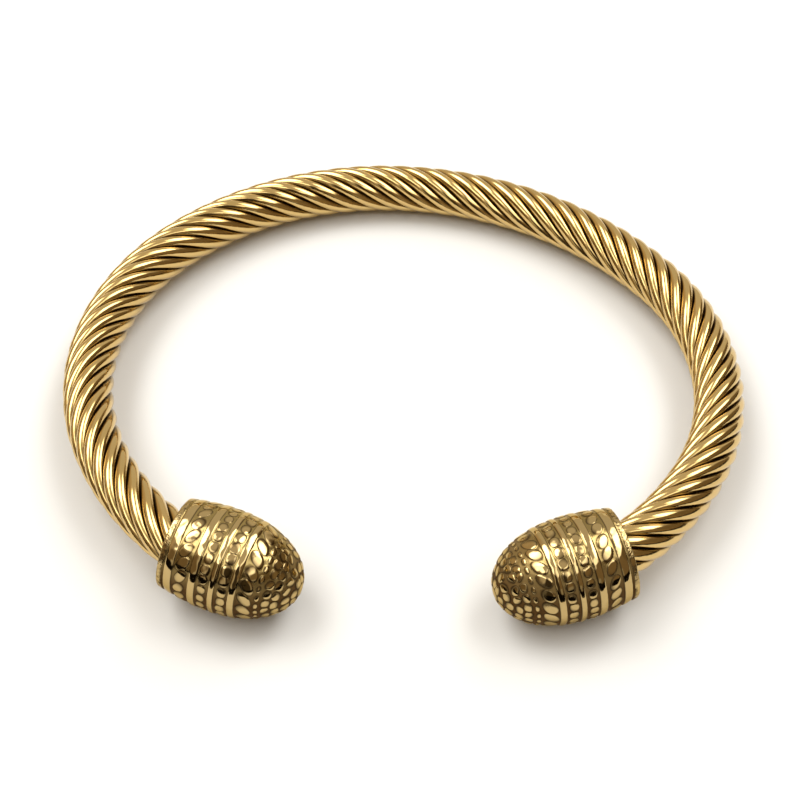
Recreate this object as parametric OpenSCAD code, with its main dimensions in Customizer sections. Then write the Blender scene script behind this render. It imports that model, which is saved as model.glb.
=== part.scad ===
// Twisted cable cuff bracelet with two ornamented end caps, lying on its side.
// Millimetres. +X runs across the width, +Y towards the closed back, +Z up.
// The origin is at the middle of the underside of the bounding box.

/* [Cable] */
// Diameter over the tops of the strands
cable_d = 5.2; // [4:0.1:6]
// Number of strands
strand_count = 9; // [6:1:14]
// Distance between neighbouring strands, measured along the cable
strand_pitch = 2.34; // [1.8:0.02:3.2]
// Distance between the modelled cross-sections, measured along the cable
ring_step = 1.6; // [1.2:0.1:3]

/* [Oval] */
// Bend radius of the back, left of the middle
back_left_r = 32; // [28:0.5:40]
// Bend radius of the back, right of the middle
back_right_r = 37; // [28:0.5:40]
// Bend radius of the left side
side_left_r = 26.5; // [22:0.5:32]
// Bend radius of the right side
side_right_r = 24.5; // [22:0.5:32]
// Bend radius of the stretches next to the caps
front_r = 32; // [26:0.5:60]

/* [End caps] */
// Length of a cap from its rear rim to its tip
cap_len = 13; // [11:0.1:16]
// Largest diameter of a cap
cap_d = 10.2; // [9.4:0.1:12]
// Diameter of the rear rim
cap_rim_d = 8.9; // [8.4:0.1:9.4]
// Distance from the rear rim to the widest place
cap_widest = 4.8; // [4:0.1:6]
// Angle between the axis of a cap and the end of the cable, in the plane of the oval
cap_turn = 19; // [0:1:22]
// Angle by which the tips of the caps droop out of the plane of the oval
cap_droop = 5; // [0:1:8]
// Depth of the socket that takes the end of the cable
socket_depth = 5; // [4:0.1:5.4]
// Clearance round the cable in its socket
socket_gap = 0.1; // [0.05:0.05:0.3]
// Clearance between the end of the cable and the bottom of its socket
end_gap = 0.3; // [0.1:0.1:0.6]

/* [Hidden] */

cable_r = cable_d / 2;
cap_r = cap_d / 2;
rim_r = cap_rim_d / 2;

// The bends from the left end to the right end, as the cuff turns clockwise seen from above.
// The two halves differ a little because such a cuff is bent by hand.
// Columns: bend radius, swept angle
bends = [
    [front_r, 23.55],
    [side_left_r, 70.5],
    [back_left_r, 48.2],
    [back_right_r, 51.15],
    [side_right_r, 67.45],
    [front_r, 22.05]
];
bend_radius = 0;
bend_sweep = 1;
// Bends that lie left of the middle of the back
left_bends = 3;

// Thickness of the strands, which are round wires that touch, laid at a helix angle round a core.
// The thickness sets the radius that the wires lie on, so it is found in a few rounds.
lead = strand_count * strand_pitch;
wire_rounds = 12;
function strand_d(d, rounds) = rounds == 0 ? d :
    strand_d(2 * PI * (cable_r - d / 2) / strand_count * cos(helix_angle(cable_r - d / 2)), rounds - 1);
function helix_angle(r) = atan(2 * PI * r / lead);
wire_d = strand_d(cable_r / 2, wire_rounds);
// Depth of the modelled groove between two strands, as a share of a strand's thickness
groove_share = 0.42;
// Share of a strand's width that its top takes in the cross-section
top_share = 0.52;

// Points along the route
function sum_to(list, n) = n <= 0 ? 0 : list[n - 1] + sum_to(list, n - 1);
bend_lengths = [for (b = bends) b[bend_radius] * b[bend_sweep] * PI / 180];
bend_sweeps = [for (b = bends) b[bend_sweep]];
bend_starts = [for (i = [0:len(bends)]) sum_to(bend_lengths, i)];
route_len = bend_starts[len(bends)];
start_heading = sum_to(bend_sweeps, left_bends);
headings = [for (i = [0:len(bends)]) start_heading - sum_to(bend_sweeps, i)];

// Direction of travel and the direction to the right of it
function ahead(h) = [cos(h), sin(h)];
function rightward(h) = [sin(h), -cos(h)];
// Place reached after turning clockwise from heading a to heading b on radius r
function turned(p, r, a, b) = p + r * (rightward(a) - rightward(b));
function corner(i) = i == 0 ? [0, 0] :
    turned(corner(i - 1), bends[i - 1][bend_radius], headings[i - 1], headings[i]);
corners = [for (i = [0:len(bends)]) corner(i)];
back_middle = corners[left_bends];

function bend_at(s, i = 0) = (i >= len(bends) - 1 || s <= bend_starts[i + 1]) ? i : bend_at(s, i + 1);
function heading_on(s, i) = headings[i] - (s - bend_starts[i]) / bends[i][bend_radius] * 180 / PI;
function heading_at(s) = s <= 0 ? headings[0] :
    s >= route_len ? headings[len(bends)] : heading_on(s, bend_at(s));
function on_bend(s, i) = turned(corners[i], bends[i][bend_radius], headings[i], heading_on(s, i));
function flat_at(s) = -back_middle + (
    s <= 0 ? corners[0] + s * ahead(headings[0]) :
    s >= route_len ? corners[len(bends)] + (s - route_len) * ahead(headings[len(bends)]) :
    on_bend(s, bend_at(s)));

// Directions in which the two ends of the cable and the two caps point
left_end_heading = headings[0] + 180;
right_end_heading = headings[len(bends)];
left_cap_heading = left_end_heading + cap_turn;
right_cap_heading = right_end_heading - cap_turn;

// The cuff leans a little, with its front raised, because its caps are thicker than the cable.
// Both the caps and the back touch the surface.
left_widest = flat_at(0) + cap_widest * cos(cap_droop) * ahead(left_cap_heading);
right_widest = flat_at(route_len) + cap_widest * cos(cap_droop) * ahead(right_cap_heading);
reach = -(left_widest[1] + right_widest[1]) / 2;
drop = cap_widest * sin(cap_droop);
lean = asin((cap_r - cable_r) / norm([reach, drop])) + atan(drop / reach);

// From the plane of the oval to the leaning cuff
function leaned(p) = [p[0], p[1] * cos(lean) + p[2] * sin(lean), p[2] * cos(lean) - p[1] * sin(lean)];

// One cross-section of the cable, lobed like touching strands
// Columns: place within the strand's width, radius
lobe = [
    [0, cable_r - groove_share * wire_d],
    [(1 - top_share) / 2, cable_r],
    [(1 + top_share) / 2, cable_r]
];
lobe_place = 0;
lobe_radius = 1;
side_count = strand_count * len(lobe);
function lobe_angle(k) = 360 / strand_count * (floor(k / len(lobe)) + lobe[k % len(lobe)][lobe_place]);
function section(s) = let (h = heading_at(s), c = flat_at(s), twist = 360 * s / lead)
    [for (k = [0:side_count - 1])
        let (a = lobe_angle(k) + twist, r = lobe[k % len(lobe)][lobe_radius], out = -rightward(h))
        leaned([c[0] + r * cos(a) * out[0], c[1] + r * cos(a) * out[1], r * sin(a)])];

cable_inside = socket_depth - end_gap;
cable_len = route_len + 2 * cable_inside;
ring_count = ceil(cable_len / ring_step);
function ring_place(i) = -cable_inside + cable_len * i / ring_count;
rings = [for (i = [0:ring_count]) section(ring_place(i))];
cable_points = [for (ring = rings) each ring];

// Outer shape of a cap, by distance from its rear rim
front_power = 2.2;
function cap_radius(z) = z < cap_widest ?
    cap_r - (cap_r - rim_r) * pow((cap_widest - z) / cap_widest, 2) :
    cap_r * sqrt(max(0, 1 - pow((z - cap_widest) / (cap_len - cap_widest), front_power)));

// Rows of ornament round a cap, each between two shallow grooves
// Columns: start, end, how far the row lies below the outer shape
cap_rows = [
    [0, 0.54, 0.05],
    [0.66, 1.57, 0],
    [1.81, 3.07, 0.05],
    [3.31, 4.10, 0],
    [4.34, 5.17, 0.05],
    [5.43, 5.99, 0],
    [6.23, 7.13, 0.05],
    [7.33, 8.03, 0],
    [8.25, 9.49, 0.05]
];
row_start = 0;
row_end = 1;
row_drop = 2;
groove_depth = 0.3;
row_bevel = 0.12;
dome_start = 9.7;
dome_steps = 9;

row_profile = [for (row = cap_rows) each [
    [cap_radius(row[row_start]) - groove_depth, row[row_start]],
    [cap_radius(row[row_start] + row_bevel) - row[row_drop], row[row_start] + row_bevel],
    [cap_radius(row[row_end] - row_bevel) - row[row_drop], row[row_end] - row_bevel],
    [cap_radius(row[row_end]) - groove_depth, row[row_end]]
]];
// The dome is stepped finer towards the tip, where it curves more
dome_profile = [for (i = [0:dome_steps])
    let (z = dome_start + (cap_len - dome_start) * sin(90 * i / dome_steps))
    [i == dome_steps ? 0 : cap_radius(z), z]];
cap_profile = concat([[0, 0]], row_profile, dome_profile);

// Bounding box of the leaning cuff
function axis_of(h) = leaned([cos(cap_droop) * ahead(h)[0], cos(cap_droop) * ahead(h)[1], -sin(cap_droop)]);
function cap_reach(p, a, j, side) = [for (c = cap_profile)
    p[j] + a[j] * c[1] + side * c[0] * sqrt(1 - a[j] * a[j])];
left_rim = leaned([flat_at(0)[0], flat_at(0)[1], 0]);
right_rim = leaned([flat_at(route_len)[0], flat_at(route_len)[1], 0]);
function lowest(j) = min([each [for (p = cable_points) p[j]],
    each cap_reach(left_rim, axis_of(left_cap_heading), j, -1),
    each cap_reach(right_rim, axis_of(right_cap_heading), j, -1)]);
function highest(j) = max([each [for (p = cable_points) p[j]],
    each cap_reach(left_rim, axis_of(left_cap_heading), j, 1),
    each cap_reach(right_rim, axis_of(right_cap_heading), j, 1)]);
origin_shift = -[(lowest(0) + highest(0)) / 2, (lowest(1) + highest(1)) / 2, lowest(2)];

// Triangles between neighbouring rings, following the strands, and the two flat ends
function next(k) = (k + 1) % side_count;
wall_faces = [for (i = [0:ring_count - 1], k = [0:side_count - 1])
    let (a = i * side_count, b = (i + 1) * side_count)
    each [[a + k, b + k, b + next(k)], [a + k, b + next(k), a + next(k)]]];
start_face = [for (k = [0:side_count - 1]) k];
end_face = [for (k = [side_count - 1:-1:0]) ring_count * side_count + k];

module cable() {
    color("goldenrod")
        translate(origin_shift)
            polyhedron(points = cable_points, faces = concat(wall_faces, [start_face, end_face]));
}

// Turns +Z to a heading in the plane of the oval, or below it by an angle, at an end of the route
module at_end(s, heading, below) {
    translate(origin_shift)
        rotate([-lean, 0, 0])
            translate([flat_at(s)[0], flat_at(s)[1], 0])
                rotate([0, 0, heading])
                    rotate([0, 90 + below, 0])
                        children();
}

// A cap with its rear rim at an end of the route and a blind socket that goes straight on from the cable
module end_cap(s, end_heading, cap_heading) {
    color("darkgoldenrod")
        difference() {
            at_end(s, cap_heading, cap_droop)
                rotate_extrude($fn = 96)
                    polygon(cap_profile);
            at_end(s, end_heading, 0)
                translate([0, 0, -cap_r])
                    cylinder(r = cable_r + socket_gap, h = cap_r + socket_depth, $fn = 64);
        }
}

module end_cap_left() {
    end_cap(0, left_end_heading, left_cap_heading);
}

module end_cap_right() {
    end_cap(route_len, right_end_heading, right_cap_heading);
}

cable();
end_cap_left();
end_cap_right();
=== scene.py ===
# Twisted cable cuff bracelet, lying on its side on a pale floor
import math

import bpy
import numpy as np
from mathutils import Matrix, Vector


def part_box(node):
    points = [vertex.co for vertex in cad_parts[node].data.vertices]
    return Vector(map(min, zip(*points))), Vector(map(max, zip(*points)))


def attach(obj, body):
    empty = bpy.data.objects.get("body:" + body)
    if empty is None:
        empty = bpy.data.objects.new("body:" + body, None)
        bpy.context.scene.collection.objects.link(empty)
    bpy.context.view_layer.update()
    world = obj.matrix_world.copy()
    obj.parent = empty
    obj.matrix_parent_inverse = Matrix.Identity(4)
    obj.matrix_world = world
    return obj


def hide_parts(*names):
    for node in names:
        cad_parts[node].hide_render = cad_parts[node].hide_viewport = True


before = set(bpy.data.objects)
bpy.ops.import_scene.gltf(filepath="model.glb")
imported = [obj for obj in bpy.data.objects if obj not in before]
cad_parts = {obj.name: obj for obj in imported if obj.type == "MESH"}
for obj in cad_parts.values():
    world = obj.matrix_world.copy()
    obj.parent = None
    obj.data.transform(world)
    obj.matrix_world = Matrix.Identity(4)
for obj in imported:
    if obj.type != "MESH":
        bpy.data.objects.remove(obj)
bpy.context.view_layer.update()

mm = 0.001
scene = bpy.context.scene

# The cuff's course and caps, the same as in the frame, in millimetres and degrees
cuff = {
    # bend radius and swept angle of each bend, from the left end to the right end
    "bends": [(32, 23.55), (26.5, 70.5), (32, 48.2), (37, 51.15), (24.5, 67.45), (32, 22.05)],
    "leftBends": 3,  # bends that lie left of the middle of the back
    "cableRadius": 2.6,
    "capRadius": 5.1,
    "capWidest": 4.8,  # from the rear rim to the widest place
    "capTurn": 19,  # between a cap's axis and the end of the cable, in the plane of the oval
    "capDroop": 5,  # how far the tips droop out of that plane
}

bendRadius = np.array([b[0] for b in cuff["bends"]], float)
bendSweep = np.radians([b[1] for b in cuff["bends"]])
bendStart = np.r_[0, np.cumsum(bendRadius * bendSweep)]
routeLength = bendStart[-1]
heading = bendSweep[:cuff["leftBends"]].sum() - np.r_[0, np.cumsum(bendSweep)]


# Unit vector along a heading: its cosine and its sine
def ahead(h):
    return np.stack([np.cos(h), np.sin(h)], -1)


# Unit vector to the right of a heading: the one ahead, a quarter turn clockwise
def rightward(h):
    return np.stack([np.sin(h), -np.cos(h)], -1)


bendTurns = bendRadius[:, None] * (rightward(heading[:-1]) - rightward(heading[1:]))
corner = np.vstack([[0, 0], np.cumsum(bendTurns, axis=0)])
backMiddle = corner[cuff["leftBends"]]


# Place and heading at each distance along the course. On a bend the place goes round the bend's
# centre by the turn so far, and past either end it goes straight on.
def courseAt(s):
    s = np.asarray(s, float)
    h = np.interp(s, bendStart, heading)
    i = np.clip(np.searchsorted(bendStart, s, side="right") - 1, 0, len(bendRadius) - 1)
    p = corner[i] + bendRadius[i][..., None] * (rightward(heading[i]) - rightward(h))
    past = s - np.clip(s, 0, routeLength)
    return p + past[..., None] * ahead(h) - backMiddle, h


# The cuff leans a little, because the caps are thicker than the cable and both touch the surface
rimPlaces, rimHeadings = courseAt([0, routeLength])
endHeadings = rimHeadings + np.array([math.pi, 0])
capHeadings = endHeadings + np.radians(cuff["capTurn"]) * np.array([1, -1])
droop = math.radians(cuff["capDroop"])
widestPlaces = rimPlaces + cuff["capWidest"] * math.cos(droop) * ahead(capHeadings)
reach = -widestPlaces[:, 1].mean()
drop = cuff["capWidest"] * math.sin(droop)
thicker = cuff["capRadius"] - cuff["cableRadius"]
lean = math.asin(thicker / math.hypot(reach, drop)) + math.atan(drop / reach)


# Turns points about X, from the plane of the oval to the leaning cuff
def leaned(p):
    x, y, z = np.moveaxis(p, -1, 0)
    onwards = y * math.cos(lean) + z * math.sin(lean)
    upwards = z * math.cos(lean) - y * math.sin(lean)
    return np.stack([x, onwards, upwards], -1)


# Closed mesh from rows of points in millimetres that each go round: quads join neighbouring rows, and a fan
# of triangles joins the first and the last row to its pole
def meshFromRows(name, rows, firstPole, lastPole):
    count, around = rows.shape[:2]
    points = np.vstack([rows.reshape(-1, 3), firstPole, lastPole]) * mm
    index = np.arange(count * around).reshape(count, around)
    nextIndex = np.roll(index, -1, axis=1)
    quads = np.stack([index[:-1], nextIndex[:-1], nextIndex[1:], index[1:]], -1).reshape(-1, 4)
    firstFan = np.stack([nextIndex[0], index[0], np.full(around, count * around)], -1)
    lastFan = np.stack([index[-1], nextIndex[-1], np.full(around, count * around + 1)], -1)
    loops = np.concatenate([quads.ravel(), firstFan.ravel(), lastFan.ravel()])
    sizes = np.concatenate([np.full(len(quads), 4), np.full(2 * around, 3)])
    mesh = bpy.data.meshes.new(name)
    mesh.vertices.add(len(points))
    mesh.vertices.foreach_set("co", points.ravel())
    mesh.loops.add(len(loops))
    mesh.loops.foreach_set("vertex_index", loops.astype(np.int32))
    mesh.polygons.add(len(sizes))
    mesh.polygons.foreach_set("loop_start", np.r_[0, np.cumsum(sizes)[:-1]].astype(np.int32))
    mesh.polygons.foreach_set("use_smooth", np.ones(len(sizes), bool))
    mesh.update(calc_edges=True)
    mesh.validate()
    piece = bpy.data.objects.new(name, mesh)
    scene.collection.objects.link(piece)
    return piece


# Keeps a number or a vector on each point of a piece, for its material to read
def storeOnPoints(piece, name, values):
    kind, field = ("FLOAT_VECTOR", "vector") if values.ndim == 2 else ("FLOAT", "value")
    layer = piece.data.attributes.new(name, kind, "POINT")
    layer.data.foreach_set(field, values.astype(np.float32).ravel())


# Makes those edges sharp whose two points both carry the flag
def sharpenBetween(piece, onLine):
    mesh = piece.data
    ends = np.empty(len(mesh.edges) * 2, np.int32)
    mesh.edges.foreach_get("vertices", ends)
    ends = ends.reshape(-1, 2)
    layer = mesh.attributes.new("sharp_edge", "BOOLEAN", "EDGE")
    layer.data.foreach_set("value", onLine[ends[:, 0]] & onLine[ends[:, 1]])


print("cable")
cable = {
    "strands": 9,
    "pitch": 2.34,  # between neighbouring strands, along the cable
    # The lay isn't quite even. It starts part of a strand on, tightens a little with each millimetre,
    # and runs ahead and behind in slow waves: amplitude in strands, length and start in millimetres
    "layStart": 0.565,
    "layGain": 0.004,
    "layWaves": [(0.145, 72, 53.14), (0.09, 42, 22.64), (0.055, 22.6, 55.64)],
    "inside": 4.7,  # how far each end goes into its cap
    "rings": 900,  # cross-sections along the cable
    "pointsPerStrand": 12,
    "grooveAngle": 97,  # how far round each wire the surface goes before it meets the next wire, degrees
    "wobble": 0.012,  # small unevenness of the single wires
    "wobbleWaves": (9, 23),  # shortest and longest wave of it
    "under": 0.018,  # how far the surface stays inside the frame's
    "seed": 5,
}


# Thickness of the wires and radius that their middles lie on. The wires touch, so together they fill that
# circle, each as wide as the helix angle makes it. One sets the other, so they are found in a few rounds.
def fitWires(count, lead, rounds=20):
    wire = 1.0
    for _ in range(rounds):
        centre = cuff["cableRadius"] - wire / 2
        wire = 2 * math.pi * centre / count * math.cos(math.atan(2 * math.pi * centre / lead))
    return wire, cuff["cableRadius"] - wire / 2


# A helix of touching round wires: across the cable each wire is an ellipse, as deep as the wire is thick
# and as wide as the helix angle makes it, and the section turns steadily along the course.
def makeCable(spec):
    rng = np.random.default_rng(spec["seed"])
    n = spec["strands"]
    lead = n * spec["pitch"]
    wire, centre = fitWires(n, lead)
    limit = math.radians(spec["grooveAngle"])
    steps = spec["pointsPerStrand"]
    psi = limit * np.linspace(-1, 1, steps + 1)[:-1]
    # neighbouring wires meet on the line half-way between them, which sets how wide the ellipse is
    halfWidth = (centre + wire / 2 * math.cos(limit)) * math.tan(math.pi / n) / math.sin(limit)
    sideways = halfWidth * np.sin(psi)
    outward = centre + wire / 2 * np.cos(psi)
    lobeAngle = np.arctan2(sideways, outward)
    lobeRadius = np.hypot(sideways, outward)
    lobeAngle[0] = -math.pi / n
    strand = np.repeat(np.arange(n), steps)
    angle = 2 * math.pi * strand / n + np.tile(lobeAngle, n)
    radius = np.tile(lobeRadius, n)

    s = np.linspace(-spec["inside"], routeLength + spec["inside"], spec["rings"])
    place, h = courseAt(s)
    across = -rightward(h)
    # each wire drifts a little round and in, by slow waves of its own
    waves = rng.uniform(0, 2 * math.pi, (2, n))
    lengths = rng.uniform(*spec["wobbleWaves"], (2, n))
    drift = np.sin(2 * math.pi * s[:, None, None] / lengths + waves) * spec["wobble"]
    lay = spec["layStart"] + spec["layGain"] * s
    for amplitude, length, start in spec["layWaves"]:
        lay = lay + amplitude * np.sin(2 * math.pi * (s - start) / length)
    turn = 2 * math.pi * (s / lead + lay / n)
    theta = angle[None, :] + turn[:, None] + (drift[:, 0] / cuff["cableRadius"])[:, strand]
    r = radius[None, :] - spec["under"] - np.abs(drift[:, 1])[:, strand]
    flat = place[:, None, :] + (r * np.cos(theta))[..., None] * across[:, None, :]
    rows = np.concatenate([flat, (r * np.sin(theta))[..., None]], -1)
    poles = np.hstack([place[[0, -1]], np.zeros((2, 1))])
    return leaned(rows), leaned(poles), s, strand, psi, wire


cableRows, cablePoles, cableS, strandOf, strandPsi, wireThickness = makeCable(cable)
# The cuff is shifted so that the middle of the cable's box is where the frame has it
cadLow, cadHigh = np.array(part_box("cable")) / mm
ownLow, ownHigh = cableRows.min((0, 1)), cableRows.max((0, 1))
shift = (cadLow + cadHigh - ownLow - ownHigh) / 2
print("shift", shift, "size left over", (cadHigh - cadLow) - (ownHigh - ownLow), "wire", wireThickness)
firstPole, lastPole = cablePoles[:1] + shift, cablePoles[1:] + shift
cablePiece = meshFromRows("twisted_cable", cableRows + shift, firstPole, lastPole)
ringCount, ringSize = cableRows.shape[:2]
alongWire = np.repeat(cableS, ringSize)
acrossWire = np.tile(np.tile(strandPsi, cable["strands"]) * wireThickness / 2, ringCount)
wireNumber = np.tile(strandOf, ringCount).astype(float)
wireCoords = np.stack([alongWire, acrossWire, wireNumber], -1)
storeOnPoints(cablePiece, "wire", np.vstack([wireCoords, wireCoords[[0, -1]]]))
inGroove = np.tile(np.tile(np.arange(cable["pointsPerStrand"]) == 0, cable["strands"]), ringCount)
sharpenBetween(cablePiece, np.r_[inGroove, False, False])

print("caps")
cap = {
    "length": 13.0,
    "rimRadius": 4.45,
    "frontPower": 2.2,
    "around": 480,  # points round the cap
    "along": 186,  # rows from the rim to the tip
    "socketRadius": 2.7,
    "socketDepth": 5.0,
    "socketRings": (1, 0.999, 0.6, 0.3, 0),  # where its rings lie, as shares of its depth
    "faceRings": (0.05, 0.5, 0.95),  # rings of the rear face, as shares of the way from the socket outwards
    # how far the recesses' finish covers them: the socket is dark, and the rear face is satin metal that
    # goes dark next to the cable
    "socketRecess": 0.9,
    "faceRecess": [0.8, 0.45, 0.36],
    "ground": 0.12,  # depth of the ground between the ornaments
    "under": 0.03,  # how far the level of the bands lies inside the frame's surface
    "lower": 0.03,  # how far the ornaments' tops lie below that level
    # the upper side is worn, the left cap's more, and the same wear paints the upper side's colours lighter,
    # as painted light:
    # height above the floor where it begins and where it is full, and the share of the relief's depth that is
    # gone there
    "wearAndLight": [(5.5, 9.6, 0.45), (6.0, 11.5, 0.4)],
    # unevenness of the casting: shortest and longest wave, depth, number of waves, how many times its depth
    # a dip can be either way, and the share of it that shows where nothing is worn
    "dents": (0.6, 1.5, 0.009, 24, 2, 0.2),
    "shoulder": 0.08,  # rounded edge of the plain bands
    "tilt": (0.07, 0.17),  # slope by which the ornaments' tops lean, on the side and on the dome
    "domeStart": 9.9,  # where the dome begins, along the outline
    # scatter of the ornaments: place round as a share of their spacing, place along in millimetres,
    # length and width as shares
    "uneven": (0.05, 0.03, 0.05, 0.05),
    "taperLimits": (0.4, 2),  # narrowest and widest that a tapered ornament gets, as shares of its width
    "seam": 0.3,  # width of the line between touching ornaments, as a share of their half-size
    # plain bands from the rim to the tip: start and end along the outline, rise, crown
    "bands": [
        (-0.60, 0.57, 0.04, 0.03),
        (0.68, 1.61, 0, 0.05),
        (3.37, 4.16, 0, 0.06),
        (5.49, 6.05, 0, 0.05),
        (7.39, 8.10, 0, 0.06),
    ],
    # rows of ornament: place along the outline, count, size along and across before it is slanted,
    # slant in degrees, taper towards the tip, squareness, flatness of the tops
    "rows": [
        (2.48, 22, 1.72, 1.08, -62, 0.0, 2.3, 3.6),
        (4.80, 28, 0.94, 1.18, 0, 0.0, 2.2, 3.2),
        (6.77, 27, 1.02, 1.28, 0, 0.0, 2.3, 3.2),
        (8.98, 20, 1.92, 1.16, 53, 0.12, 2.2, 3.6),
        (10.15, 26, 0.50, 0.80, 0, 0.0, 2.1, 2.4),
        (11.07, 22, 0.94, 1.08, 8, 0.1, 2.5, 2.5),
        (12.02, 18, 1.01, 1.13, 8, 0.1, 2.5, 2.5),
        (13.13, 14, 1.13, 1.11, 8, 0.1, 2.5, 2.5),
        (14.22, 8, 1.03, 1.17, 8, 0.1, 2.5, 2.5),
    ],
    "tipSize": 0.86,  # radius of the round scale on the tip
    "tipFlatness": 2.5,
    "reliefSeed": 11,
    "dentSeed": 23,
}


# Outer outline of a cap by distance from the rim: a shallow parabola up to the widest place,
# then a quarter of a superellipse down to the tip
def capOutline(z):
    widest = cuff["capWidest"]
    behind = cuff["capRadius"] - (cuff["capRadius"] - cap["rimRadius"]) * ((widest - z) / widest) ** 2
    share = np.clip((z - widest) / (cap["length"] - widest), 0, 1)
    front = cuff["capRadius"] * np.sqrt(1 - share ** cap["frontPower"])
    return np.where(z < widest, behind, front)


# The outline in fine steps, closer towards the tip, with the distance along it from the rim
fineSteps = 4000
fineZ = cap["length"] * np.sin(np.linspace(0, math.pi / 2, fineSteps))
fineR = capOutline(fineZ)
fineArc = np.r_[0, np.cumsum(np.hypot(np.diff(fineZ), np.diff(fineR)))]
arcLength = fineArc[-1]


# Height above the ground of the relief at each place, by distance t along the outline and angle a round,
# where the cap's radius is r. A band is a low crown with rounded shoulders. A single ornament is a loaf: the
# root of one minus a power of the distance from its middle, where the distance is that of a slanted
# superellipse which may taper to one end, and its top leans a little. Where two ornaments of a row meet,
# the difference of their distances draws a thin line between them.
def relief(t, a, r):
    rng = np.random.default_rng(cap["reliefSeed"])
    full = cap["ground"]
    ornamentTop = full - cap["lower"]
    sideways, onwards, longer, wider = cap["uneven"]
    height = np.zeros(np.broadcast(t, a).shape)
    for start, end, rise, crown in cap["bands"]:
        y = (t - (start + end) / 2) / ((end - start) / 2)
        inwards = np.clip(np.minimum(t - start, end - t) / cap["shoulder"], 0, 1)
        height = np.maximum(height, np.sqrt(1 - (1 - inwards) ** 2) * (full + rise - crown * y ** 2))
    for place, count, long, wide, slant, taper, square, flatness in cap["rows"]:
        turn = math.radians(slant)
        cell = (a + rng.uniform(0, 2 * math.pi)) * count / (2 * math.pi)
        tilt = cap["tilt"][int(place > cap["domeStart"])]
        near = np.floor(cell)
        jitter = rng.uniform(-1, 1, (6, count))
        # distances from the nearest ornament's middle and from the second nearest's
        first = np.full(height.shape, np.inf)
        second = first.copy()
        top = np.zeros(height.shape)
        for number in (near - 1, near, near + 1):
            j = jitter[:, np.mod(number, count).astype(int)]
            x = (cell - number - 0.5 + sideways * j[0]) * 2 * math.pi / count * r
            y = t - place + onwards * j[1]
            along = (x * math.sin(turn) + y * math.cos(turn)) / (long / 2 * (1 + longer * j[2]))
            aside = (x * math.cos(turn) - y * math.sin(turn)) / (wide / 2 * (1 + wider * j[3]))
            aside = aside / np.clip(1 - taper * along, *cap["taperLimits"])
            distance = (np.abs(along) ** square + np.abs(aside) ** square) ** (1 / square)
            closer = distance < first
            second = np.where(closer, first, np.minimum(second, distance))
            leaning = ornamentTop + tilt * (j[4] * x + j[5] * y)
            top = np.where(closer, np.minimum(leaning, full), top)
            first = np.where(closer, distance, first)
        loaf = np.sqrt(np.clip(1 - first ** flatness, 0, 1))
        apart = np.clip((second - first) / cap["seam"], 0, 1)
        height = np.maximum(height, loaf * np.sqrt(1 - (1 - apart) ** 2) * top)
    distance = np.clip((arcLength - t) / cap["tipSize"], 0, 1)
    return np.maximum(height, ornamentTop * np.sqrt(1 - distance ** cap["tipFlatness"]))


# How far the casting's unevenness dips at each point: the sum of many plane waves that run in all
# directions, divided so that its spread is one, kept within the limit, moved to all dips and then times the
# depth. It shows in full only where the cap is worn.
def dents(points, wornAndLit):
    rng = np.random.default_rng(cap["dentSeed"])
    shortest, longest, deep, count, limit, calm = cap["dents"]
    waves = rng.normal(size=(3, count))
    waves *= 2 * math.pi / rng.uniform(shortest, longest, count) / np.linalg.norm(waves, axis=0)
    starts = rng.uniform(0, 2 * math.pi, count)
    pattern = np.sin(points @ waves + starts).sum(-1) / math.sqrt(count / 2)
    return deep * (limit + np.clip(pattern, -limit, limit)) * (calm + (1 - calm) * wornAndLit)


# Directions of a cap's own X, Y and Z before the cuff leans. Z is its axis, and X lies in the oval's plane.
def capAxes(i):
    h = capHeadings[i]
    alongAxis = np.array([*(math.cos(droop) * ahead(h)), -math.sin(droop)])
    first = -np.array([*rightward(h), 0])
    return np.array([first, np.cross(alongAxis, first), alongAxis])


# Turns a cap from its own axes to the end of the course
def placedCap(points, i):
    return leaned(points @ capAxes(i) + np.array([*rimPlaces[i], 0])) + shift


# Outer surface of a cap about its own axis: the outline, turned round and set inwards along its normal by
# what relief, wear and dents leave below the top. The wear is eased in and out between its two heights.
def outerRows(i, t, a):
    z = np.interp(t, fineArc, fineZ)
    r = np.interp(t, fineArc, fineR)
    normalR = np.interp(t, fineArc, np.gradient(fineZ, fineArc))
    normalZ = -np.interp(t, fineArc, np.gradient(fineR, fineArc))
    height = relief(t, a, r)
    plain = np.stack([r * np.cos(a), r * np.sin(a), z + 0 * a], -1)
    begins, full, gone = cap["wearAndLight"][i]
    # wear by height above the floor; it also paints the upper side lighter, as painted light
    wornAndLit = np.clip((placedCap(plain, i)[..., 2] - begins) / (full - begins), 0, 1)
    wornAndLit = wornAndLit * wornAndLit * (3 - 2 * wornAndLit)
    depth = (cap["ground"] - height) * (1 - gone * wornAndLit) + dents(plain, wornAndLit)
    outerR = r - (depth + cap["under"]) * normalR
    outerZ = np.maximum(z - (depth + cap["under"]) * normalZ, 0)
    return np.stack([outerR * np.cos(a), outerR * np.sin(a), outerZ], -1), depth, height, wornAndLit


# Rings of the socket and of the rear face, and the middle of the socket's bottom. The socket goes straight on
# from the cable, its mouth lies in the plane of the rear face, and the face runs flat from there to the rim.
def innerRows(i, a, rim):
    inwards = capAxes(i) @ np.array([*ahead(endHeadings[i]), 0])
    one = np.array([1, 0, 0]) - inwards[0] * inwards
    one /= np.linalg.norm(one)
    two = np.cross(inwards, one)
    ring = cap["socketRadius"] * (np.cos(a[0])[:, None] * one + np.sin(a[0])[:, None] * two)
    mouth = -ring[:, 2:] / inwards[2]
    deep = cap["socketDepth"] - mouth
    socket = [ring + (mouth + deep * share) * inwards for share in cap["socketRings"]]
    face = [socket[-1] + (rim - socket[-1]) * share for share in cap["faceRings"]]
    return np.array(socket + face), cap["socketDepth"] * inwards[None, :]


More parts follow.
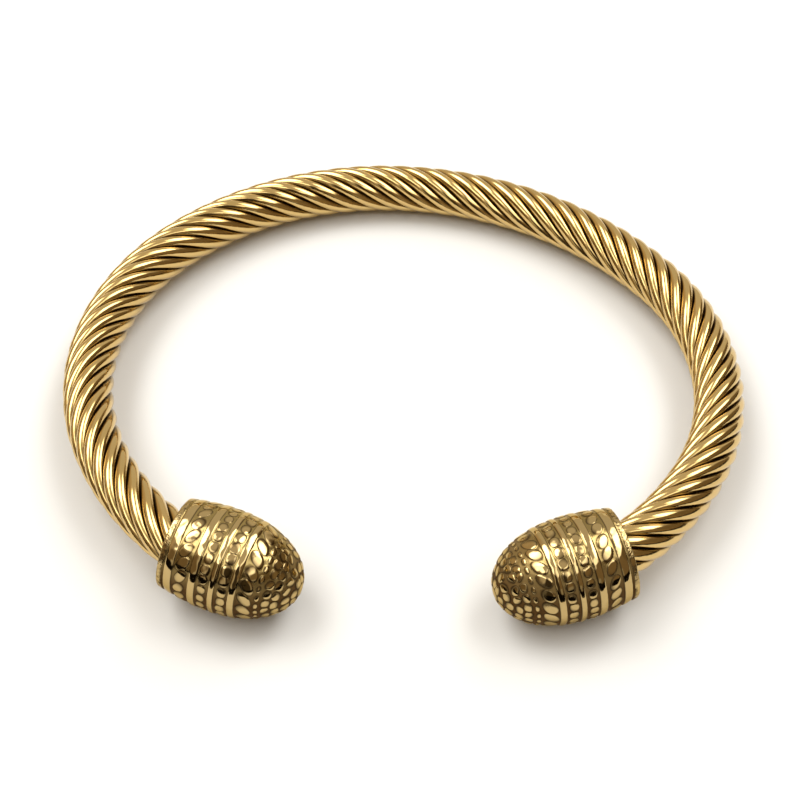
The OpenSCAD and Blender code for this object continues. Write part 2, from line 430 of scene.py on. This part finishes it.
# A whole cap about its own axis, from the bottom of its socket to its tip, with the values that its material
# reads. The lip's grains stay off the rear face, because its arc is given as past the lip.
def capRows(i):
    t = (np.linspace(0, 1, cap["along"]) * arcLength)[:-1][:, None]
    a = np.linspace(0, 2 * math.pi, cap["around"], endpoint=False)[None, :]
    outer, depth, height, wornAndLit = outerRows(i, t, a)
    inner, bottom = innerRows(i, a, outer[0])
    tip = np.array([[0, 0, cap["length"] - depth[-1].mean() - cap["under"]]])
    covers = [cap["socketRecess"]] * len(cap["socketRings"]) + cap["faceRecess"]
    covered = np.array(covers)[:, None] + 0 * a
    recess = np.concatenate([covered, 1 - height / cap["ground"]])
    wornAndLit = np.concatenate([0 * covered, wornAndLit])
    arc = np.concatenate([0 * covered + 1, np.broadcast_to(t, depth.shape)])
    return np.concatenate([inner, outer]), bottom, tip, recess, wornAndLit, arc


capPieces = []
for i, side in enumerate(("left", "right")):
    rows, bottom, tip, recess, wornAndLit, arc = capRows(i)
    placed = [placedCap(points, i) for points in (rows, bottom, tip)]
    piece = meshFromRows("ornamented_cap_" + side, *placed)
    storeOnPoints(piece, "recess", np.r_[recess.ravel(), 1, 0])
    # the wear, which the material also uses to paint the upper side lighter, as painted light
    storeOnPoints(piece, "wornAndLit", np.r_[wornAndLit.ravel(), 0, wornAndLit[-1].mean()])
    storeOnPoints(piece, "arc", np.r_[arc.ravel(), 0, arcLength])
    capPieces.append(piece)


# Linear colour from an sRGB hex code, times a brightness
def fromHex(code, brightness=1):
    c = np.array([int(code[i:i + 2], 16) / 255 for i in (1, 3, 5)])
    linear = np.where(c <= 0.04045, c / 12.92, ((c + 0.055) / 1.055) ** 2.4)
    return (*(linear * brightness), 1)


# Adds a node with its settings and its fixed inputs, and links the other inputs to other nodes' outputs
def addNode(tree, kind, settings=None, inputs=None, links=None):
    node = tree.nodes.new(kind)
    for key, value in (settings or {}).items():
        setattr(node, key, value)
    for key, value in (inputs or {}).items():
        node.inputs[key].default_value = value
    for key, (source, socket) in (links or {}).items():
        tree.links.new(source.outputs[socket], node.inputs[key])
    return node


# A new material without nodes, and its node tree
def newMaterial(name):
    material = bpy.data.materials.new(name)
    material.use_nodes = True
    material.node_tree.nodes.clear()
    return material, material.node_tree


# Finish of the wires. Lengths are in millimetres.
plate = {
    "colour": "#D2B477",
    # painted shade: the colour that the wires darken to in the grooves between them
    "grooveColour": "#1C1008",
    "groove": (0.6, 0.88),  # how far round from the top of a wire the painted groove shade begins and is full
    # streaks in a millimetre along and across a wire, and what sets the streaks of the wires apart. They are
    # 0.12 mm apart and some 4 mm long, several times coarser than real drawing marks so that they show.
    "streaks": (0.25, 8, 3.7),
    "streakDepth": 0.02,
    "streakStrength": 0.25,
    "roughness": (0.08, 0.16),  # least and most, from streak to streak
}


# Polished steel wire with a gold-coloured plating: sharp, clean reflections, faint streaks from the
# drawing along each wire, and painted shade that darkens each wire towards the grooves between the wires.
# Its attribute holds the millimetres along and across a wire, and the wire's number.
def polishedGold(spec):
    material, tree = newMaterial("polished_gold_plate")
    wire = addNode(tree, "ShaderNodeAttribute", {"attribute_name": "wire"})
    parts = addNode(tree, "ShaderNodeSeparateXYZ", links={"Vector": (wire, "Vector")})
    aside = addNode(tree, "ShaderNodeMath", {"operation": "ABSOLUTE"}, links={0: (parts, "Y")})
    # painted shade: the colour darkens from the top of a wire towards the groove beside it
    begins, full = spec["groove"]
    groove = addNode(tree, "ShaderNodeMapRange", inputs={"From Min": begins, "From Max": full},
                     links={"Value": (aside, "Value")})
    colour = addNode(tree, "ShaderNodeValToRGB", links={"Fac": (groove, "Result")})
    colour.color_ramp.elements[0].color = fromHex(spec["colour"])
    colour.color_ramp.elements[1].color = fromHex(spec["grooveColour"])
    stretch = addNode(tree, "ShaderNodeVectorMath", {"operation": "MULTIPLY"},
                      inputs={1: spec["streaks"]}, links={0: (wire, "Vector")})
    streaks = addNode(tree, "ShaderNodeTexNoise", inputs={"Scale": 1, "Detail": 2},
                      links={"Vector": (stretch, "Vector")})
    bump = addNode(tree, "ShaderNodeBump",
                   inputs={"Strength": spec["streakStrength"], "Distance": spec["streakDepth"] * mm},
                   links={"Height": (streaks, "Fac")})
    # nearly all of the noise lies between 0.3 and 0.7
    least, most = spec["roughness"]
    rough = addNode(tree, "ShaderNodeMapRange",
                    inputs={"From Min": 0.3, "From Max": 0.7, "To Min": least, "To Max": most},
                    links={"Value": (streaks, "Fac")})
    shader = addNode(tree, "ShaderNodeBsdfPrincipled", inputs={"Metallic": 1.0},
                     links={"Base Color": (colour, "Color"), "Roughness": (rough, "Result"),
                            "Normal": (bump, "Normal")})
    addNode(tree, "ShaderNodeOutputMaterial", links={"Surface": (shader, "BSDF")})
    return material


# Finish of the caps. Lengths are in millimetres. The recess is 0 on the tops and 1 on the ground, and the
# wear is 0 as made and 1 where it is full; the wear also paints the upper side lighter, as painted light.
casting = {
    # colours of the tops, of the foot of the ornaments, where the antiquing and painted shade in the crease
    # are darkest, and of the ground, and the recess at which each of them is reached. The first set, for the
    # lower side, is painted darker as shade, and the second, for the worn upper side, is painted lighter as
    # light
    "asMadeShadedSide": ("#B9A06D", "#2E200E", "#5A4020"),
    "wornAndLit": ("#C4AB78", "#4A3820", "#A8925E"),
    "reached": (0.3, 0.68, 0.98),
    "film": (0.85, 0.5),  # recess at which the brown film hides the metal, and at which there is none
    "filmWornAndLit": (0.1, 0.7),  # wear at which it gets thin, and at which it is gone; this thinning also paints the upper side brighter, as painted light
    "filmRoughness": (0.8, 0.2),  # as made and where it is gone
    "topRoughness": 0.07,
    "roughens": (0.3, 0.9),  # recess at which the surface begins to get rougher, and is roughest
    "filmGloss": 0.08,
    "filmTint": "#F2E4C4",
    # waves over the whole casting, 900 in a metre, so 1.1 mm long
    "waves": 900,
    "waveDepth": 0.07,
    "waveStrength": 0.8,
    # grains of the lip, 2600 in a metre, so 0.4 mm across
    "grains": 2600,
    "grainDepth": 0.1,
    "grainStrength": 0.5,
    "grainStain": 1.3,  # how much brown they hold
    "lipEnd": (0.66, 0.58),  # how far from the rim they are gone, and are full
}


# Cast steel with a gold-coloured plating, then antiqued: bright polished tops with the slight waviness
# of a casting, recesses under a dull brown film, and a rough unpolished rear lip. With the wear, the film
# thins and the colours get lighter on the upper side, as painted light, and darker on the lower side, as
# painted shade.
def antiquedGold(spec):
    material, tree = newMaterial("antiqued_gold_cast")
    recessed = addNode(tree, "ShaderNodeAttribute", {"attribute_name": "recess"})
    wornAndLit = addNode(tree, "ShaderNodeAttribute", {"attribute_name": "wornAndLit"})
    arc = addNode(tree, "ShaderNodeAttribute", {"attribute_name": "arc"})
    place = addNode(tree, "ShaderNodeTexCoord")
    grains = addNode(tree, "ShaderNodeTexNoise",
                     inputs={"Scale": spec["grains"], "Detail": 3, "Roughness": 0.6},
                     links={"Vector": (place, "Object")})
    gone, full = spec["lipEnd"]
    lip = addNode(tree, "ShaderNodeMapRange",
                  inputs={"From Min": gone, "From Max": full, "To Max": spec["grainStain"]},
                  links={"Value": (arc, "Fac")})
    grainy = addNode(tree, "ShaderNodeMath", {"operation": "MULTIPLY"},
                     links={0: (lip, "Result"), 1: (grains, "Fac")})
    stain = addNode(tree, "ShaderNodeMath", {"operation": "ADD"},
                    links={0: (recessed, "Fac"), 1: (grainy, "Value")})
    onTop, atFoot, onGround = spec["reached"]
    finishes = []
    # the lower side's colours are painted darker, as shade, and the worn upper side's are painted lighter, as
    # light
    for top, foot, ground in (spec["asMadeShadedSide"], spec["wornAndLit"]):
        ramp = addNode(tree, "ShaderNodeValToRGB", links={"Fac": (stain, "Value")})
        elements = ramp.color_ramp.elements
        elements[0].position, elements[0].color = onTop, fromHex(top)
        elements[1].position, elements[1].color = onGround, fromHex(ground)
        elements.new(atFoot).color = fromHex(foot)
        finishes.append(ramp)
    # mixing by the wear paints the upper side lighter: painted light
    colour = addNode(tree, "ShaderNodeMixRGB", links={
        "Fac": (wornAndLit, "Fac"), "Color1": (finishes[0], "Color"), "Color2": (finishes[1], "Color")})
    # metal shows where the film doesn't cover it, and where the wear thins it on the upper side, which is
    # painted light
    covered, uncovered = spec["film"]
    bare = addNode(tree, "ShaderNodeMapRange", inputs={"From Min": covered, "From Max": uncovered},
                   links={"Value": (stain, "Value")})
    thins, gone = spec["filmWornAndLit"]
    thinnedAndLit = addNode(tree, "ShaderNodeMapRange", inputs={"From Min": thins, "From Max": gone},
                   links={"Value": (wornAndLit, "Fac")})
    metal = addNode(tree, "ShaderNodeMath", {"operation": "MAXIMUM"},
                    links={0: (bare, "Result"), 1: (thinnedAndLit, "Result")})
    asMadeShadedSide, bared = spec["filmRoughness"]
    dull = addNode(tree, "ShaderNodeMapRange", inputs={"To Min": asMadeShadedSide, "To Max": bared},
                   links={"Value": (thinnedAndLit, "Result")})
    begins, full = spec["roughens"]
    rough = addNode(tree, "ShaderNodeMapRange",
                    inputs={"From Min": begins, "From Max": full, "To Min": spec["topRoughness"]},
                    links={"Value": (stain, "Value"), "To Max": (dull, "Result")})
    waves = addNode(tree, "ShaderNodeTexNoise", inputs={"Scale": spec["waves"], "Detail": 1},
                    links={"Vector": (place, "Object")})
    wavy = addNode(tree, "ShaderNodeBump",
                   inputs={"Strength": spec["waveStrength"], "Distance": spec["waveDepth"] * mm},
                   links={"Height": (waves, "Fac")})
    bump = addNode(tree, "ShaderNodeBump",
                   inputs={"Strength": spec["grainStrength"], "Distance": spec["grainDepth"] * mm},
                   links={"Height": (grainy, "Value"), "Normal": (wavy, "Normal")})
    shader = addNode(tree, "ShaderNodeBsdfPrincipled",
                     inputs={"Specular IOR Level": spec["filmGloss"],
                             "Specular Tint": fromHex(spec["filmTint"])},
                     links={"Base Color": (colour, "Color"), "Metallic": (metal, "Value"),
                            "Roughness": (rough, "Result"), "Normal": (bump, "Normal")})
    addNode(tree, "ShaderNodeOutputMaterial", links={"Surface": (shader, "BSDF")})
    return material


print("materials")
cablePiece.data.materials.append(polishedGold(plate))
capFinish = antiquedGold(casting)
for piece in capPieces:
    piece.data.materials.append(capFinish)

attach(cablePiece, "root")
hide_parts("cable")
for piece, node in zip(capPieces, ("end_cap_left", "end_cap_right")):
    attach(piece, "root")
    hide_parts(node)


print("stage")
# A sheet of white paper, 420 by 297 mm. Its near edge shows as a dark line in the lower half of the metal.
sheet = {"left": -210, "right": 210, "near": -75, "far": 222, "colour": "#E3E3E3", "roughness": 0.7}


# A flat rectangle between the sheet's edges, facing up. Plain matt paper gives soft light from below.
def makeFloor(spec):
    mesh = bpy.data.meshes.new("floor")
    corners = [(spec["left"], spec["near"], 0), (spec["right"], spec["near"], 0),
               (spec["right"], spec["far"], 0), (spec["left"], spec["far"], 0)]
    mesh.from_pydata((np.array(corners) * mm).tolist(), [], [(0, 1, 2, 3)])
    floor = bpy.data.objects.new("floor", mesh)
    scene.collection.objects.link(floor)
    material, tree = newMaterial("white_paper")
    shader = addNode(tree, "ShaderNodeBsdfPrincipled",
                     inputs={"Base Color": fromHex(spec["colour"]), "Roughness": spec["roughness"]})
    addNode(tree, "ShaderNodeOutputMaterial", links={"Surface": (shader, "BSDF")})
    mesh.materials.append(material)
    return floor


makeFloor(sheet)

# Millimetres and degrees. The camera stands on the near side, a little to the right.
camera = {
    "target": (-0.226, -3.3, 3.213),
    "azimuth": 2.28,
    "elevation": 52.0,
    "roll": 0.16,
    "distance": 181.3,
    "focalPixels": 1761,
    "picturePixels": 800,
    "sensorWidth": 36,
    "clip": (0.01, 10),  # nearest and furthest that it sees, in metres
}


# The camera looks at the target along the direction of its azimuth and elevation, and is then rolled about it
def placeCamera(spec):
    az, el = math.radians(spec["azimuth"]), math.radians(spec["elevation"])
    look = np.array([-math.sin(az) * math.cos(el), math.cos(az) * math.cos(el), -math.sin(el)])
    right = np.cross(look, [0, 0, 1])
    right /= np.linalg.norm(right)
    up = np.cross(right, look)
    roll = math.radians(spec["roll"])
    right, up = math.cos(roll) * right + math.sin(roll) * up, math.cos(roll) * up - math.sin(roll) * right
    data = bpy.data.cameras.new("camera")
    data.sensor_width = spec["sensorWidth"]
    data.lens = spec["sensorWidth"] * spec["focalPixels"] / spec["picturePixels"]
    data.clip_start, data.clip_end = spec["clip"]
    holder = bpy.data.objects.new("camera", data)
    scene.collection.objects.link(holder)
    matrix = np.eye(4)
    matrix[:3, :3] = np.stack([right, up, -look], -1)
    matrix[:3, 3] = (np.array(spec["target"]) - spec["distance"] * look) * mm
    holder.matrix_world = Matrix(matrix.tolist())
    scene.camera = holder


placeCamera(camera)


# The studio: dim walls and ceiling with two large soft windows and darker things below them, by direction.
# Each row is a patch with a soft edge, laid over the ones before it.
studio = {
    "ceiling": ("#FFF4E2", 0.72),  # colour and brightness where there is no patch
    "backdrop": "#FFFFFF",  # what the camera sees past the floor
    # azimuth (0 is the far side, + to the right), height above the horizon, half-sizes in degrees,
    # squareness, width of the edge as a share of the size, colour and brightness
    "patches": [
        ("lowLeft", -80, 0, 55, 42, 4, 0.3, "#FFE4BC", 0.6),
        ("lowLeftNear", -128, 12, 26, 34, 3, 0.25, "#FFDCAA", 0.23),
        ("farWall", 0, 28, 24, 32, 4, 0.3, "#FFF6E6", 0.72),
        ("leftWindow", -95, 57, 70, 7, 5, 0.16, "#FFFEFA", 3.6),
        ("leftWindowFar", -62, 60, 32, 15, 5, 0.3, "#FFFEFA", 6),
        ("rightWindow", 97, 50, 70, 17, 5, 0.14, "#FFFEFA", 2.3),
        ("rightWindowFar", 64, 54, 36, 17, 5, 0.3, "#FFFEFA", 5.6),
        ("lowRight", 92, 6, 60, 46, 2, 0.1, "#FFDCAA", 0.2),
        ("lowRightNear", 137, 25, 34, 26, 4, 0.1, "#FFDCAA", 0.26),
        ("nearSide", -176, 24, 15, 32, 3, 0.2, "#FFE0B0", 0.06),
        ("streakLeft", -150, 11, 11, 7, 2.5, 0.3, "#FFF4E0", 0.55),
        ("streakRight", 156, 16, 11, 8, 2.5, 0.3, "#FFF4E0", 0.4),
        ("floorEdge", 180, 1, 125, 8, 6, 0.12, "#FFE0B0", 0.006),
    ],
}


# A patch covers the directions whose distance from its middle is under one. The distance is that of a
# superellipse: azimuth and height from the middle, each as a share of the half-size and to the power of the
# squareness, are added up, and the root of that is taken. At its edge one colour fades into the other.
def makeStudio(spec):
    world = bpy.data.worlds.new("studio")
    scene.world = world
    world.use_nodes = True
    tree = world.node_tree
    tree.nodes.clear()
    place = addNode(tree, "ShaderNodeTexCoord")
    split = addNode(tree, "ShaderNodeSeparateXYZ", links={"Vector": (place, "Generated")})
    turn = addNode(tree, "ShaderNodeMath", {"operation": "ARCTAN2"}, links={0: (split, "X"), 1: (split, "Y")})
    azimuth = addNode(tree, "ShaderNodeMath", {"operation": "DEGREES"}, links={0: (turn, "Value")})
    rise = addNode(tree, "ShaderNodeMath", {"operation": "ARCSINE"}, links={0: (split, "Z")})
    height = addNode(tree, "ShaderNodeMath", {"operation": "DEGREES"}, links={0: (rise, "Value")})
    walls = addNode(tree, "ShaderNodeRGB")
    walls.outputs["Color"].default_value = fromHex(*spec["ceiling"])
    colour = (walls, "Color")
    for name, middle, up, wide, high, square, edge, tint, brightness in spec["patches"]:
        powers = []
        for result, centre, size in ((azimuth, middle, wide), (height, up, high)):
            steps = [("SUBTRACT", {1: centre}), ("WRAP", {1: 180, 2: -180}), ("DIVIDE", {1: size}),
                     ("ABSOLUTE", {}), ("POWER", {1: square})]
            for operation, values in steps:
                links = {0: (result, "Value")}
                result = addNode(tree, "ShaderNodeMath", {"operation": operation}, values, links)
            powers.append((result, "Value"))
        total = addNode(tree, "ShaderNodeMath", {"operation": "ADD"}, links={0: powers[0], 1: powers[1]})
        distance = addNode(tree, "ShaderNodeMath", {"operation": "POWER"},
                           inputs={1: 1 / square}, links={0: (total, "Value")})
        mask = addNode(tree, "ShaderNodeMapRange", {"interpolation_type": "SMOOTHSTEP"},
                       {"From Min": 1 + edge, "From Max": 1 - edge}, {"Value": (distance, "Value")})
        # inputs 6 and 7 of this node are its two colours, and output 2 is the mixed one
        mix = addNode(tree, "ShaderNodeMix", {"data_type": "RGBA", "label": name},
                      {7: fromHex(tint, brightness)}, {"Factor": (mask, "Result"), 6: colour})
        colour = (mix, 2)
    background = addNode(tree, "ShaderNodeBackground", links={"Color": colour})
    backdrop = addNode(tree, "ShaderNodeBackground", inputs={"Color": fromHex(spec["backdrop"])})
    ray = addNode(tree, "ShaderNodeLightPath")
    seen = addNode(tree, "ShaderNodeMixShader", links={
        0: (ray, "Is Camera Ray"), 1: (background, "Background"), 2: (backdrop, "Background")})
    addNode(tree, "ShaderNodeOutputWorld", links={"Surface": (seen, "Shader")})


makeStudio(studio)
scene.view_settings.view_transform = "Standard"
